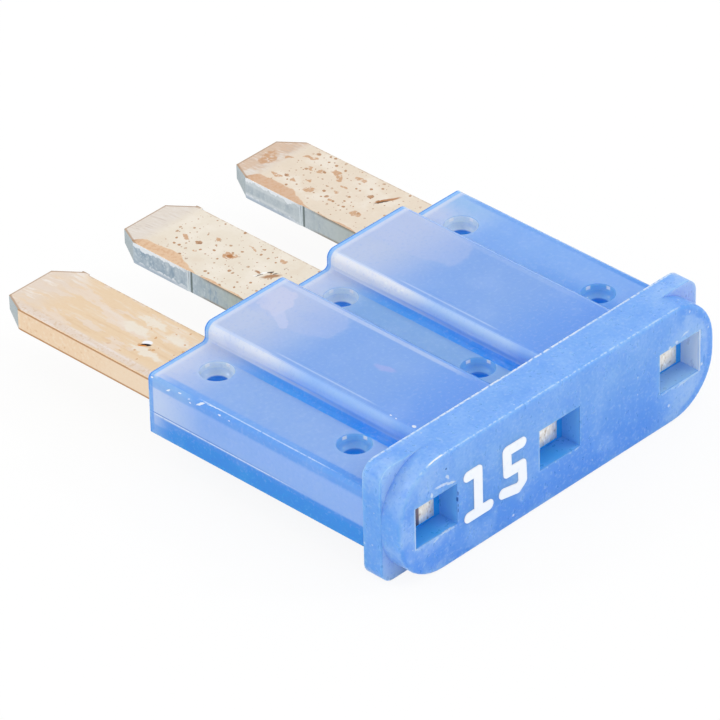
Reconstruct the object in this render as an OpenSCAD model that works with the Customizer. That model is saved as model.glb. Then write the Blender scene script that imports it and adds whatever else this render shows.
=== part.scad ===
// Three-blade micro fuse lying flat: a hollow moulded housing and the one-piece stamped element inside it.
// X runs across the blades, +Y points at the blade tips, Z is up. The origin is the middle of the underside.

/* [Head] */
// Width of the flange plate across the blades
flange_w = 14.4; // [13.9:0.1:16]
// Thickness of the whole head, top face to bottom face
head_t = 4.2; // [3.8:0.1:5]
// Length of the flange plate along the blades
flange_l = 0.69; // [0.5:0.01:1.5]
// Corner radius of the flange plate
flange_corner_r = 0.5; // [0.1:0.05:1.2]
// Width of the round-ended pad in front of the flange
pad_w = 14.36; // [13.5:0.02:15]
// Radius of the pad's round ends, up to half the head's thickness
pad_corner_r = 1.9; // [1:0.05:2.1]
// How far the pad stands out from the flange
pad_l = 0.83; // [0.78:0.01:1.5]
// Radius of the pad's front edge
pad_edge_r = 0.12; // [0.05:0.01:0.25]

/* [Body] */
// Width of the body across the blades
body_w = 14.2; // [13.9:0.05:14.3]
// Length of the body from the flange to its open end
body_l = 9.29; // [8.6:0.01:12]
// Thickness of the web between the ridges
web_t = 2.2; // [1.9:0.01:2.6]
// Radius of the web's long outer edges on its upper face
web_edge_r = 0.2; // [0.05:0.01:0.5]
// Radius of the web's long outer edges on its lower face
web_low_edge_r = 0.05; // [0.02:0.01:0.5]

/* [Ridges] */
// Distance between the centre lines of the two ridges
ridge_pitch = 5.5; // [5.2:0.05:5.8]
// Width of one ridge
ridge_w = 3.68; // [3.4:0.02:4.1]
// Thickness over the ridges, top to bottom
ridge_t = 3.49; // [3.2:0.01:3.8]
// Radius of the ridges' long outer edges
ridge_edge_r = 0.3; // [0.05:0.01:0.5]
// Radius of the fillet where a ridge meets the web
ridge_foot_r = 0.15; // [0.05:0.01:0.3]

/* [Blades] */
// Distance between neighbouring blades, centre to centre
blade_pitch = 5.15; // [5:0.05:5.25]
// Width of one blade
blade_w = 2.84; // [2.5:0.01:2.95]
// Thickness of the stamped metal
blade_t = 0.8; // [0.6:0.01:0.9]
// Length of blade that stands out of the body
blade_reach = 7.29; // [5:0.01:9]
// Width of the blade at its tip
tip_w = 1.88; // [1.4:0.01:2.3]
// Thickness of the blade at its coined tip
tip_t = 0.54; // [0.3:0.01:0.6]
// Length of the corner chamfers at the tip
tip_chamfer_l = 0.9; // [0.5:0.01:1.4]
// Length of the coined bevels at the tip
tip_coin_l = 1.0; // [0.5:0.01:1.6]
// Length of the sheared land that the cut-off strip leaves on the left edge of a blade
land_l = 2.5; // [1:0.05:4]
// How far that land stands out from the blade's edge
land_proud = 0.02; // [0.01:0.01:0.12]
// Length of the sheared nib that the strip leaves on the right edge of a blade, at its chamfer
nib_l = 0.3; // [0.1:0.05:0.8]
// How far that nib stands out from the blade's edge
nib_proud = 0.06; // [0.02:0.01:0.15]

/* [Test tabs and windows] */
// Distance between neighbouring tabs, windows and dimples, centre to centre
pole_pitch = 5.55; // [5.45:0.05:5.6]
// Width of a test tab
tab_w = 0.8; // [0.6:0.01:1.2]
// How far the end of a tab lies behind the pad's front face
tab_recess = 0.5; // [0.2:0.01:0.7]
// Width of a window
window_w = 1.85; // [1.5:0.01:2.2]
// Height of a window
window_h = 1.5; // [1.1:0.01:2]
// Depth of a window
window_l = 0.77; // [0.75:0.01:1.1]
// Thickness of the wall between the windows and the slot
slot_end_wall = 1.25; // [0.9:0.01:1.6]

/* [Fuse links] */
// Width of a link strip
link_w = 0.44; // [0.36:0.01:0.6]
// Width of a link at its neck, where it melts
neck_w = 0.26; // [0.15:0.01:0.32]
// Thickness of a link strip
link_t = 0.3; // [0.15:0.01:0.5]
// Distance of a link's middle from the slot's closed end
link_y = 3.7; // [2.6:0.05:5]

/* [Link chambers] */
// Wall left over a chamber at the ridge's outer face
chamber_roof = 0.6; // [0.4:0.01:0.8]
// Distance of a chamber's closed end from the slot's closed end
chamber_start = 1.0; // [0.5:0.05:1.6]
// Play between a blade's edge and the chamber's side wall
chamber_side_gap = 0.12; // [0.02:0.01:0.25]

/* [Stake dimples] */
// Radius of a dimple
dimple_r = 0.56; // [0.4:0.01:0.7]
// Depth of a dimple
dimple_depth = 0.46; // [0.3:0.01:0.52]
// Radius of the round corner at the bottom of a dimple
dimple_round_r = 0.3; // [0.1:0.01:0.3]
// Distance of the dimples near the head from the flange
dimple_from_head = 1.9; // [1.4:0.05:2.2]
// Distance of the dimples near the open end from that end
dimple_from_end = 1.5; // [1.2:0.05:2]
// Radius of the plastic pressed onto the metal under a dimple
stake_r = 0.42; // [0.3:0.01:0.45]

/* [Fits] */
// Play between the metal and the slot, on each side
slot_clear = 0.04; // [0.02:0.01:0.08]

/* [Hidden] */

// Stations along Y, counted from the pad's front face
y_flange = pad_l;
y_body = y_flange + flange_l;
y_open = y_body + body_l;
y_tip = y_open + blade_reach;
y_slot = window_l + slot_end_wall;
y_chamber = y_slot + chamber_start;
y_link = y_slot + link_y;
dimple_rows = [y_body + dimple_from_head, y_open - dimple_from_end];

// The pad's round ends leave a short straight stretch up each end
pad_end_r = min(pad_corner_r, head_t / 2 - 0.02);

// Places across X
poles = [-1, 0, 1];
blade_half = blade_w / 2;
blade_gap = blade_pitch - blade_w;
gap_centre = blade_pitch / 2;
slot_half_w = blade_pitch + blade_half + slot_clear;
slot_half_t = blade_t / 2 + slot_clear;
chamber_w = blade_gap + 2 * chamber_side_gap;

// Overlap that makes unions and cuts clean
eps = 0.05;
$fn = 48;

// Moves the model from its middle plane and front face to its origin on the underside
module placed() {
    translate([0, -y_tip / 2, head_t / 2]) children();
}

// Extrudes an X-Z outline along Y, from y0 to y1
module along_y(y0, y1) {
    translate([0, y1, 0]) rotate([90, 0, 0]) linear_extrude(y1 - y0) children();
}

// Rectangle with round corners, centred
module round_rect(w, h, r) {
    square([w - 2 * r, h], center = true);
    square([w, h - 2 * r], center = true);
    for (sx = [-1, 1], sy = [-1, 1])
        translate([sx * (w / 2 - r), sy * (h / 2 - r)]) circle(r);
}

// Half section of a plate edge: flat back at y = 0, round front corner at the top right
module round_front(w, h, r) {
    square([w, h - r]);
    square([w - r, h]);
    translate([w - r, h - r]) circle(r);
}

// One round corner of the pad, a disc with a rounded front edge
module pad_corner() {
    translate([0, pad_l, 0]) rotate([90, 0, 0]) rotate_extrude() round_front(pad_end_r, pad_l, pad_edge_r);
}

// The pad: four round corners, joined by one straight stretch across and one up each end
module pad() {
    reach = pad_w / 2 - pad_end_r;
    rise = head_t / 2 - pad_end_r;
    for (sx = [-1, 1], sz = [-1, 1])
        translate([sx * reach, 0, sz * rise]) pad_corner();
    for (face = [0, 1])
        mirror([0, 0, face]) translate([-reach, pad_l, 0]) rotate([90, 0, 90]) linear_extrude(2 * reach)
            rotate(90) round_front(head_t / 2, pad_l, pad_edge_r);
    for (end = [0, 1])
        mirror([end, 0, 0]) translate([0, pad_l, -rise]) linear_extrude(2 * rise)
            mirror([0, 1]) round_front(pad_w / 2, pad_l, pad_edge_r);
}

module flange() {
    along_y(y_flange - eps, y_body) round_rect(flange_w, head_t, flange_corner_r);
}

// Concave quarter fillet that fills the corner at its origin, up and to the right
module foot_fillet(r) {
    difference() {
        translate([-eps, -eps]) square(r + eps);
        translate([r, r]) circle(r);
    }
}

// Cross-section of the body: web, two ridges on each face, and their foot fillets
module body_section() {
    round_rect(body_w, web_t, web_edge_r);
    translate([0, -web_t / 4]) round_rect(body_w, web_t / 2, min(web_low_edge_r, web_edge_r));
    for (s = [-1, 1]) translate([s * ridge_pitch / 2, 0]) {
        round_rect(ridge_w, ridge_t, ridge_edge_r);
        for (mx = [0, 1], my = [0, 1])
            mirror([mx, 0]) mirror([0, my])
                translate([ridge_w / 2, web_t / 2]) foot_fillet(ridge_foot_r);
    }
}

module body() {
    along_y(y_body - eps, y_open) body_section();
}

// Space for the metal: one wide slot, open at the blade end
module slot() {
    translate([-slot_half_w, y_slot, -slot_half_t])
        cube([2 * slot_half_w, y_open - y_slot + eps, 2 * slot_half_t]);
}

// Room around a fuse link inside a ridge, open at the blade end
module link_chamber() {
    h = ridge_t - 2 * chamber_roof;
    along_y(y_chamber, y_open + eps) round_rect(chamber_w, h, ridge_edge_r);
}

// Window in the pad and the narrow hole behind it that the tab passes through
module window() {
    hole_w = tab_w + 2 * slot_clear;
    translate([-window_w / 2, -eps, -window_h / 2]) cube([window_w, window_l + eps, window_h]);
    translate([-hole_w / 2, window_l - eps, -slot_half_t])
        cube([hole_w, slot_end_wall + 2 * eps, 2 * slot_half_t]);
}

// Round blind dimple with a rounded bottom corner, its mouth on the web's top face
module dimple() {
    translate([0, 0, web_t / 2]) rotate([180, 0, 0]) rotate_extrude() {
        intersection() {
            round_front(dimple_r, dimple_depth, dimple_round_r);
            square([dimple_r, dimple_depth]);
        }
        translate([0, -eps]) square([dimple_r, 2 * eps]);
    }
}

// Plastic pressed down through the play in the slot until it grips the blade
module stake() {
    translate([0, 0, blade_t / 2]) cylinder(r = stake_r, h = slot_clear + eps);
}

// Repeats its children under every dimple, on both faces
module at_dimples() {
    for (p = poles, y = dimple_rows, face = [0, 1])
        translate([p * pole_pitch, y, 0]) mirror([0, 0, face]) children();
}

module housing() {
    color([0.45, 0.66, 0.95, 0.75]) placed() {
        difference() {
            union() {
                pad();
                flange();
                body();
            }
            slot();
            for (s = [-1, 1])
                translate([s * gap_centre, 0, 0]) link_chamber();
            for (p = poles)
                translate([p * pole_pitch, 0, 0]) window();
            at_dimples() dimple();
        }
        at_dimples() stake();
    }
}

// Plan of one blade: chamfered tip, and a land or a nib on each edge that faces a neighbour
module blade_plan(pole) {
    y_cham = y_tip - tip_chamfer_l;
    polygon([
        [-blade_half, y_slot], [-blade_half, y_cham], [-tip_w / 2, y_tip],
        [tip_w / 2, y_tip], [blade_half, y_cham], [blade_half, y_slot]
    ]);
    if (pole > poles[0])
        translate([-blade_half - land_proud, y_cham - land_l]) square([land_proud + eps, land_l]);
    if (pole < poles[2])
        translate([blade_half - eps, y_cham - nib_l]) square([nib_proud + eps, nib_l]);
}

// Test tab: a narrow strip from the blade's shoulder into the window
module tab_plan() {
    translate([-tab_w / 2, tab_recess]) square([tab_w, y_slot - tab_recess + eps]);
}

// Side view of the stamping, flat with a wedge coined at the tip
module side_profile() {
    y_coin = y_tip - tip_coin_l;
    polygon([
        [tab_recess, -blade_t / 2], [y_coin, -blade_t / 2], [y_tip, -tip_t / 2],
        [y_tip, tip_t / 2], [y_coin, blade_t / 2], [tab_recess, blade_t / 2]
    ]);
}

module blade(pole) {
    intersection() {
        linear_extrude(blade_t, center = true) {
            translate([pole * blade_pitch, 0]) blade_plan(pole);
            translate([pole * pole_pitch, 0]) tab_plan();
        }
        rotate([90, 0, 90]) linear_extrude(2 * slot_half_w, center = true) side_profile();
    }
}

// Quarter of a flat ring around the origin, in the quadrant up and to the right
module quarter_ring(r, w) {
    intersection() {
        difference() {
            circle(r + w / 2);
            circle(r - w / 2);
        }
        square(r + w);
    }
}

// S-shaped fuse link in the gap to the right of the centre blade, with a neck at its middle
module link() {
    bend_r = blade_gap / 2;
    notch_r = link_w;
    notch_x = neck_w / 2 + notch_r;
    translate([gap_centre, y_link, 0]) linear_extrude(link_t, center = true) difference() {
        union() {
            translate([-bend_r, 0]) quarter_ring(bend_r, link_w);
            rotate(180) translate([-bend_r, 0]) quarter_ring(bend_r, link_w);
            for (a = [0, 180])
                rotate(a) translate([-bend_r - eps, bend_r - link_w / 2]) square([2 * eps, link_w]);
        }
        for (s = [-1, 1])
            translate([s * notch_x, 0]) circle(notch_r);
    }
}

module fuse_element() {
    color([0.90, 0.84, 0.72]) placed() {
        for (p = poles)
            blade(p);
        for (a = [0, 1])
            mirror([a, 0, 0]) link();
    }
}

housing();
fuse_element();
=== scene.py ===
import math

import bmesh
import bpy
from mathutils import Matrix, Vector


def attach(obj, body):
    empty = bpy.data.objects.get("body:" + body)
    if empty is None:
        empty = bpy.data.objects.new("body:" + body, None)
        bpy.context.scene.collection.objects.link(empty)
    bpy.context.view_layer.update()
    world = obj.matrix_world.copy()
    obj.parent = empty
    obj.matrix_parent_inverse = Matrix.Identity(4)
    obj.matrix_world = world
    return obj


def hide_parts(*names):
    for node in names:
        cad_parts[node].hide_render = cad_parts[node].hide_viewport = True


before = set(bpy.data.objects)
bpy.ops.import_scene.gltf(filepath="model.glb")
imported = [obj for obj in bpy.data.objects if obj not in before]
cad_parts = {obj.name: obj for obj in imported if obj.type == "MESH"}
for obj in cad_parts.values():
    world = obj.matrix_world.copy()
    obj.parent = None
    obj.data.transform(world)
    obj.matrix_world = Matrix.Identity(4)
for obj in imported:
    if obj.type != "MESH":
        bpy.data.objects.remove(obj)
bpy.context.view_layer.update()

MM = 0.001

# Places on the fuse in millimetres, as the CAD model has them. Heights count from its middle plane.
MID_Z = 2.1
PAD_FRONT_Y = -9.05
PAD_BACK_Y = -8.22
FLANGE_BACK_Y = -7.53
PAD_BEND_X = 5.28
OPEN_END_Y = 1.76
BODY_SIDE_X = 7.1
WEB_TOP = 1.1
RIDGE_TOP = 1.745
RIDGE_CENTRE_X = 2.75
RIDGE_HALF_W = 1.84
SLOT_TOP = 0.44
DIMPLE_PITCH = 5.55
DIMPLE_Y = 0.26
DIMPLE_ROW_PITCH = 5.89
DIMPLE_R = 0.56
BLADE_PITCH = 5.15
BLADE_HALF_W = 1.42
BLADE_TOP = 0.4
COIN_Y = 8.05
TIP_Y = 9.05
# The blades' tips are cut off at the corners, along a line that faces this way at this distance
CHAMFER_FACING = (0.882, 0.471, 0.0)
CHAMFER_LEVEL = 5.088

# Share of white surroundings that the glossy skin reflects at the photograph's angle
SKIN = 0.05

# How far the printed numerals stand out from the pad, each way from its face, and how wide their lines are
INK_DEPTH = 0.012
INK_STROKE = 0.385
# The middles of the numerals' lines on the pad's front face, by X and by height over the middle plane
NUMERAL_ONE = [
    [(-4.16, 0.75), (-3.71, 0.75), (-3.70, -0.75)],
    [(-4.15, -0.78), (-3.235, -0.78)],
]
NUMERAL_FIVE = [
    [(-1.73, 0.76), (-2.42, 0.77), (-2.39, -0.03), (-1.74, -0.05),
     (-1.71, -0.66), (-1.93, -0.83), (-2.60, -0.71)],
]

# How wide the edges are rounded. At the open end it stays under 0.05, the smallest radius of the body's
# corners, because a wider rounding folds the end face over itself there. At the dimples' rims the short
# edges around them hold it to 0.03.
OPEN_END_ROUNDING = 0.045
DIMPLE_ROUNDING = 0.1
MOULDED_ROUNDING = 0.04
STAMPED_ROUNDING = 0.025

# Outlines, from above, of the pale shapes that show through the ridges' tops
HOLLOW_LEFT = [(-3.0, 1.6), (-3.05, -0.8), (-2.7, -1.7), (-1.95, -1.85), (-1.2, -1.3), (-1.1, 1.6)]
HOLLOW_RIGHT = [(2.4, 1.6), (2.55, -0.8), (2.85, -1.75), (3.5, -1.95), (4.2, -1.5), (4.3, 1.6)]
TONGUE = [(-2.72, 1.4), (-2.85, 0.3), (-2.05, 0.3), (-1.5, 0.7), (-1.5, 1.4)]
TONGUE_TIP = [(-2.85, 0.5), (-3.14, -0.06), (-3.22, -0.25), (-3.03, -0.42), (-2.35, 0.35)]

# The marks from here on are ovals. Each has its centre, two radii in mm and its turn in degrees.

# A faint lilac stain on the left ridge's top
STAIN = [(-2.65, -4.15, 0.14, 0.35, 10)]

# Painted highlights on a dimple's rim, where it catches the light, placed from the dimple's centre
DIMPLE_GLINTS = [(0.13, 0.565, 0.085, 0.085, 0), (0.575, 0.07, 0.075, 0.075, 0)]

# White scratches and chips in the body's edges. They are placed as seen from the left at 45 degrees, across
# by the sum of X and Z, and along by Y.
FLECKS = [
    (-4.12, 0.86, 0.03, 0.1, 30), (-3.99, 0.37, 0.02, 0.07, 0), (-3.98, -0.52, 0.045, 0.19, 43),
    (-3.825, -1.05, 0.012, 0.32, 6), (-4.02, -1.35, 0.03, 0.06, 0), (-4.05, -1.78, 0.02, 0.04, 0),
    (-4.16, -0.09, 0.02, 0.04, 0), (-4.03, -0.05, 0.015, 0.05, 30), (-3.95, 1.6, 0.04, 0.05, 0),
    (4.66, -0.81, 0.055, 0.055, 0), (4.5, -0.79, 0.04, 0.04, 0), (4.51, -0.95, 0.025, 0.03, 0),
    (4.6, -1.36, 0.05, 0.05, 0), (4.7, -1.495, 0.05, 0.05, 0), (-0.49, -7.0, 0.06, 0.07, 0),
    (-0.52, -6.06, 0.03, 0.045, 0), (-0.55, -6.29, 0.02, 0.03, 0),
]

# Dark scratches and pale scrapes on the pad's front face, by X and by height over the middle plane
PAD_SCRATCHES = [
    (-4.6, 0.36, 0.02, 0.08, 0), (-4.61, 0.14, 0.025, 0.09, 0), (-4.6, -0.09, 0.02, 0.06, 0),
    (-4.6, -0.27, 0.02, 0.07, 0), (-5.11, 1.54, 0.035, 0.035, 0),
]
PAD_SCRAPES = [
    (-5.3, 1.02, 0.3, 0.05, -8), (-4.9, 0.92, 0.22, 0.04, -12), (-5.05, 1.2, 0.05, 0.12, 30),
    (-5.75, 0.9, 0.05, 0.1, 0), (-5.05, -0.74, 0.35, 0.02, 8), (-5.6, -0.86, 0.12, 0.025, 10),
    (-2.16, -1.76, 0.05, 0.05, 0), (5.05, -1.36, 0.045, 0.06, 20), (6.6, -0.57, 0.05, 0.05, 0),
    (-0.85, -0.66, 0.04, 0.05, 0), (5.4, 0.86, 0.05, 0.05, 0), (5.1, 0.8, 0.06, 0.04, 0),
    (5.8, 0.98, 0.16, 0.03, 15), (6.02, 1.68, 0.04, 0.05, 0), (5.75, -0.83, 0.3, 0.02, 8),
]

# Larger patches on the middle and right blades where the plating is gone, from above as all that follow
BARE_PATCHES = [
    (5.15, 8.48, 0.26, 0.46, -70), (5.55, 7.93, 0.07, 0.14, 60), (6.0, 7.35, 0.09, 0.26, 20),
    (4.62, 6.9, 0.1, 0.16, 10), (4.93, 6.49, 0.08, 0.1, 0), (5.52, 6.93, 0.09, 0.1, 0),
    (5.57, 6.6, 0.09, 0.09, 0), (5.8, 5.95, 0.13, 0.36, -30), (4.58, 6.05, 0.12, 0.24, 35),
    (5.05, 5.31, 0.07, 0.09, 0), (5.44, 5.33, 0.05, 0.09, 0), (6.11, 5.25, 0.08, 0.24, 0),
    (4.56, 7.5, 0.08, 0.2, 10), (4.57, 5.2, 0.05, 0.14, 0), (4.5, 4.0, 0.14, 0.26, 0),
    (-0.5, 6.36, 0.07, 0.1, 0), (0.48, 6.25, 0.08, 0.15, -50), (-0.1, 7.1, 0.07, 0.22, 0),
    (0.98, 3.76, 0.08, 0.15, 0), (0.85, 4.95, 0.05, 0.2, -20), (0.06, 5.25, 0.17, 0.25, 10),
]
DEEP_PATCHES = [(0.06, 5.25, 0.09, 0.13, 10), (5.8, 3.75, 0.07, 0.42, 62)]
# Plating that is left on the left blade, and the gouge in it: its painted highlight, the painted shadow in
# its pit, and orange copper
PLATING_LEFT = [
    (-4.85, 4.5, 0.22, 0.6, 0), (-5.6, 3.4, 0.16, 0.75, 0), (-4.5, 3.1, 0.3, 0.4, 0),
    (-4.25, 4.4, 0.16, 0.6, 0),
]
GOUGE_HIGHLIGHT = [(-5.19, 3.71, 0.12, 0.17, 35)]
GOUGE_PIT_SHADOW = [(-5.31, 3.66, 0.07, 0.17, 35)]
GOUGE_COPPER = [(-5.41, 3.72, 0.04, 0.14, 35)]
# Scratches on the other two blades near the body: torn copper, dark grooves and bright burrs
TORN_COPPER = [(0.1, 3.45, 0.09, 0.3, 55), (0.0, 3.95, 0.05, 0.12, 0)]
GROOVES = [
    (0.25, 3.62, 0.04, 0.12, 50), (-0.1, 3.78, 0.03, 0.14, 70), (0.3, 3.45, 0.02, 0.1, 60),
    (5.6, 3.8, 0.03, 0.26, 62),
]
BURRS = [(0.08, 3.76, 0.05, 0.12, 60), (-0.22, 3.86, 0.03, 0.07, 60)]

# The photograph's camera: its place in mm, its heading, fall and roll in degrees, and its lens in mm
CAMERA_PLACE = (-128.620, -126.613, 123.808)
CAMERA_ANGLES = (45.567, 34.256, -1.402)
CAMERA_LENS = 345.206


def linear(code):
    """Turns an sRGB hex code into the linear colour that Blender's sockets take."""
    parts = [int(code[i:i + 2], 16) / 255 for i in (1, 3, 5)]
    return [c / 12.92 if c <= 0.04045 else ((c + 0.055) / 1.055) ** 2.4 for c in parts] + [1.0]


def add(tree, kind, inputs=None, out=0, **settings):
    """Adds a node and gives one of its outputs. Inputs are numbers, sRGB hex codes or other outputs."""
    made = tree.nodes.new("ShaderNode" + kind)
    for name, value in settings.items():
        setattr(made, name, value)
    for key, value in (inputs or {}).items():
        if isinstance(value, bpy.types.NodeSocket):
            tree.links.new(value, made.inputs[key])
        elif isinstance(value, str):
            made.inputs[key].default_value = linear(value)
        else:
            made.inputs[key].default_value = value
    return made if out is None else made.outputs[out]


def start_finish(name):
    """Starts a material. Gives it, its tree, its shader, and the sockets for place in mm and for facing."""
    material = bpy.data.materials.new(name)
    material.use_nodes = True
    tree = material.node_tree
    spot = add(tree, "TexCoord", out="Object")
    place = add(tree, "VectorMath", {0: spot, "Scale": 1 / MM}, operation="SCALE")
    split = add(tree, "SeparateXYZ", {0: place}, out=None)
    facing = add(tree, "SeparateXYZ", {0: add(tree, "NewGeometry", out="True Normal")}, out=None)
    at = {"place": place}
    for number, axis in enumerate("xyz"):
        at[axis] = split.outputs[number]
        at["n" + axis] = facing.outputs[number]
        at["a" + axis] = add(tree, "Math", {0: facing.outputs[number]}, operation="ABSOLUTE")
    above = add(tree, "Math", {0: at["z"], 1: MID_Z}, operation="SUBTRACT")
    at["h"] = add(tree, "Math", {0: above}, operation="ABSOLUTE")
    return material, tree, tree.nodes["Principled BSDF"], at


def mask(tree, *spans):
    """Product of soft steps. Each span is a value, where its step starts and where it is full."""
    product = None
    for value, start, full in spans:
        step = add(tree, "MapRange", {"Value": value, "From Min": start, "From Max": full},
                   interpolation_type="SMOOTHSTEP")
        if product is not None:
            step = add(tree, "Math", {0: product, 1: step}, operation="MULTIPLY")
        product = step
    return product


def layered(tree, colour, *layers):
    """Lays colours over a first one, each as far as its mask says, and up to its strength if it has one."""
    for where, coat, *strength in layers:
        if strength:
            where = add(tree, "Math", {0: where, 1: strength[0]}, operation="MULTIPLY")
        colour = add(tree, "Mix", {0: where, 6: colour, 7: coat}, out=2, data_type="RGBA")
    return colour


def mottle(tree, place, size, stretch=(1, 1, 1), detail=3.0, rough=0.5):
    """Noise around 0.5 whose patches are about that many mm wide, drawn out along the axes by stretch."""
    scale = [1 / (size * s) for s in stretch]
    seat = add(tree, "VectorMath", {0: place, 1: scale}, operation="MULTIPLY")
    return add(tree, "TexNoise", {"Vector": seat, "Scale": 1.0, "Detail": detail, "Roughness": rough})


def wavy(tree, place, size, reach):
    """The place shifted by up to about that many mm, which makes straight outlines ragged."""
    seat = add(tree, "VectorMath", {0: place, "Scale": 1 / size}, operation="SCALE")
    drift = add(tree, "TexNoise", {"Vector": seat, "Scale": 1.0, "Detail": 3.0}, out="Color")
    drift = add(tree, "VectorMath", {0: drift, 1: (0.5, 0.5, 0.5)}, operation="SUBTRACT")
    drift = add(tree, "VectorMath", {0: drift, 1: (4 * reach, 4 * reach, 0)}, operation="MULTIPLY")
    return add(tree, "VectorMath", {0: place, 1: drift}, operation="ADD")


def area(tree, place, corners, soft):
    """Inside of a convex outline seen from above. Its corners, in mm, go round to the left."""
    spans = []
    for (x0, y0), (x1, y1) in zip(corners, corners[1:] + corners[:1]):
        length = math.hypot(x1 - x0, y1 - y0)
        inward = ((y0 - y1) / length, (x1 - x0) / length, 0.0)
        depth = add(tree, "VectorMath", {0: place, 1: inward}, out="Value", operation="DOT_PRODUCT")
        level = inward[0] * x0 + inward[1] * y0
        spans.append((depth, level - soft / 2, level + soft / 2))
    return mask(tree, *spans)


def spots(tree, place, soft, marks):
    """Oval marks seen from above. Each has its centre, two radii in mm and its turn in degrees."""
    nearest = None
    for x, y, wide, long, turn in marks:
        if turn:
            local = add(tree, "Mapping", {0: place, "Location": (x, y, 0), "Scale": (wide, long, 1000),
                                          "Rotation": (0, 0, math.radians(turn))}, vector_type="TEXTURE")
        else:
            local = add(tree, "VectorMath", {0: place, 1: (1 / wide, 1 / long, 0.001),
                                             2: (-x / wide, -y / long, 0)}, operation="MULTIPLY_ADD")
        reach = add(tree, "VectorMath", {0: local}, out="Value", operation="LENGTH")
        if nearest is not None:
            reach = add(tree, "Math", {0: nearest, 1: reach}, operation="MINIMUM")
        nearest = reach
    return mask(tree, (nearest, 1 + soft, 1 - soft))


def specks(tree, place, cell, most, share, space="2D"):
    """Random specks, from above or in 3D, up to `most` mm wide, in that share of the cells of `cell` mm."""
    cells = add(tree, "TexVoronoi", {"Vector": place, "Scale": 1 / cell}, out=None, voronoi_dimensions=space)
    pick = add(tree, "SeparateXYZ", {0: cells.outputs["Color"]}, out=None)
    radius = add(tree, "MapRange", {"Value": pick.outputs[0], "From Min": 1 - share, "From Max": 1,
                                    "To Min": 0, "To Max": most / cell / 2})
    inside = add(tree, "Math", {0: radius, 1: cells.outputs["Distance"]}, operation="SUBTRACT")
    return mask(tree, (inside, 0.0, 0.06))


def web_colours(tree, at, colour):
    """The web's flat faces: lavender at the open end and deep blue stripes along the ridges' feet, both
    painted light.
    """
    x, y, h, ridge_x = at["x"], at["y"], at["h"], at["ridge_x"]
    foot = -RIDGE_HALF_W
    right = (x, 4.6, 5.0)
    stripe = mask(tree, (ridge_x, foot - 0.44, foot - 0.36), (ridge_x, foot + 0.4, foot + 0.2),
                  (h, WEB_TOP + 0.12, WEB_TOP + 0.06), (h, WEB_TOP - 0.1, WEB_TOP - 0.02))
    return layered(
        tree, colour,
        (mask(tree, right), "#86B2F1"),
        (mask(tree, (x, -0.9, -0.7), (x, 0.9, 0.7)), "#86B0E4"),
        # Painted light: paler towards the open end, where light comes through the thin plastic
        (mask(tree, (y, -0.9, 1.7)), "#C6D1EC"),
        (mask(tree, (x, 5.4, 6.6), (y, -1.2, 0.8)), "#98C0EE", 0.9),
        (mask(tree, right, (x, 5.9, 5.2), (y, -1.5, -6.0)), "#639EEA", 0.8),
        # Painted light: deep blue stripes along the ridges' feet, where light from the ridges' walls shows
        # through the web
        (mask(tree, (stripe, 0, 1), (y, 0.7, -1.8)), "#52A3F8"),
        (mask(tree, (stripe, 0, 1), (y, -2.0, -6.0)), "#3A92FA", 0.75),
    )


def ridge_colours(tree, at, colour):
    """The ridges' tops, with the pale shapes of the hollow that show through them, painted light near the
    open end and painted highlight lines.
    """
    x, y, h, ridge_x = at["x"], at["y"], at["h"], at["ridge_x"]
    top = (h, RIDGE_TOP - 0.35, RIDGE_TOP - 0.22)
    left = (x, 0.1, -0.1)
    flow = wavy(tree, at["place"], 0.55, 0.09)
    hollow_left = area(tree, flow, HOLLOW_LEFT, 0.3)
    hollow_right = area(tree, flow, HOLLOW_RIGHT, 0.3)
    tongue = area(tree, flow, TONGUE, 0.12)
    tip = area(tree, flow, TONGUE_TIP, 0.1)
    stain = spots(tree, flow, 0.5, STAIN)
    # Painted highlight: a pale line inside each ridge's far rounded edge, with deeper blue beyond it on the
    # rounding
    line = mask(tree, (ridge_x, 1.34, 1.42), (ridge_x, 1.58, 1.5), (y, -7.2, -5.0), top)
    band = mask(tree, (ridge_x, 1.54, 1.62), top)
    # Painted highlights: thin pale lines along the near rounded edge of each ridge's top
    near_edge = mask(tree, top, (ridge_x, -1.71, -1.67), (ridge_x, -1.6, -1.64), (y, -1.3, -0.6))
    pale_line = mask(tree, top, (ridge_x, -1.56, -1.53), (ridge_x, -1.47, -1.5),
                     (y, -0.9, -1.5), (y, -5.6, -4.8))
    blue_line = mask(tree, top, (ridge_x, -1.42, -1.4), (ridge_x, -1.36, -1.38),
                     (y, -1.5, -2.5), (y, -5.2, -4.0))
    return layered(
        tree, colour,
        (mask(tree, top), "#86ADEA"),
        (mask(tree, top, (y, -4.2, -7.0)), "#72A2ED"),
        # Painted light: paler towards the open end, where light comes through the thin plastic
        (mask(tree, top, (y, -2.3, 0.9)), "#BBC9E7"),
        (mask(tree, top, (hollow_left, 0, 1)), "#B4C4EC", 0.35),
        (mask(tree, top, (hollow_right, 0, 1)), "#B4C4EC", 0.35),
        (mask(tree, top, (tongue, 0, 1)), "#D0D4EC", 0.6),
        (mask(tree, top, (tip, 0, 1)), "#C6D0EE", 0.6),
        (mask(tree, top, (stain, 0, 1)), "#B3B6EC", 0.45),
        (band, "#6FA5F0", 0.6),
        (line, "#C0D2F2", 0.15),
        (mask(tree, (line, 0, 1), left), "#C6D6F4", 0.5),
        (near_edge, "#DCE6F8", 0.5),
        (pale_line, "#C3D6F6", 0.5),
        (blue_line, "#6E9FEA", 0.35),
    )


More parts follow.
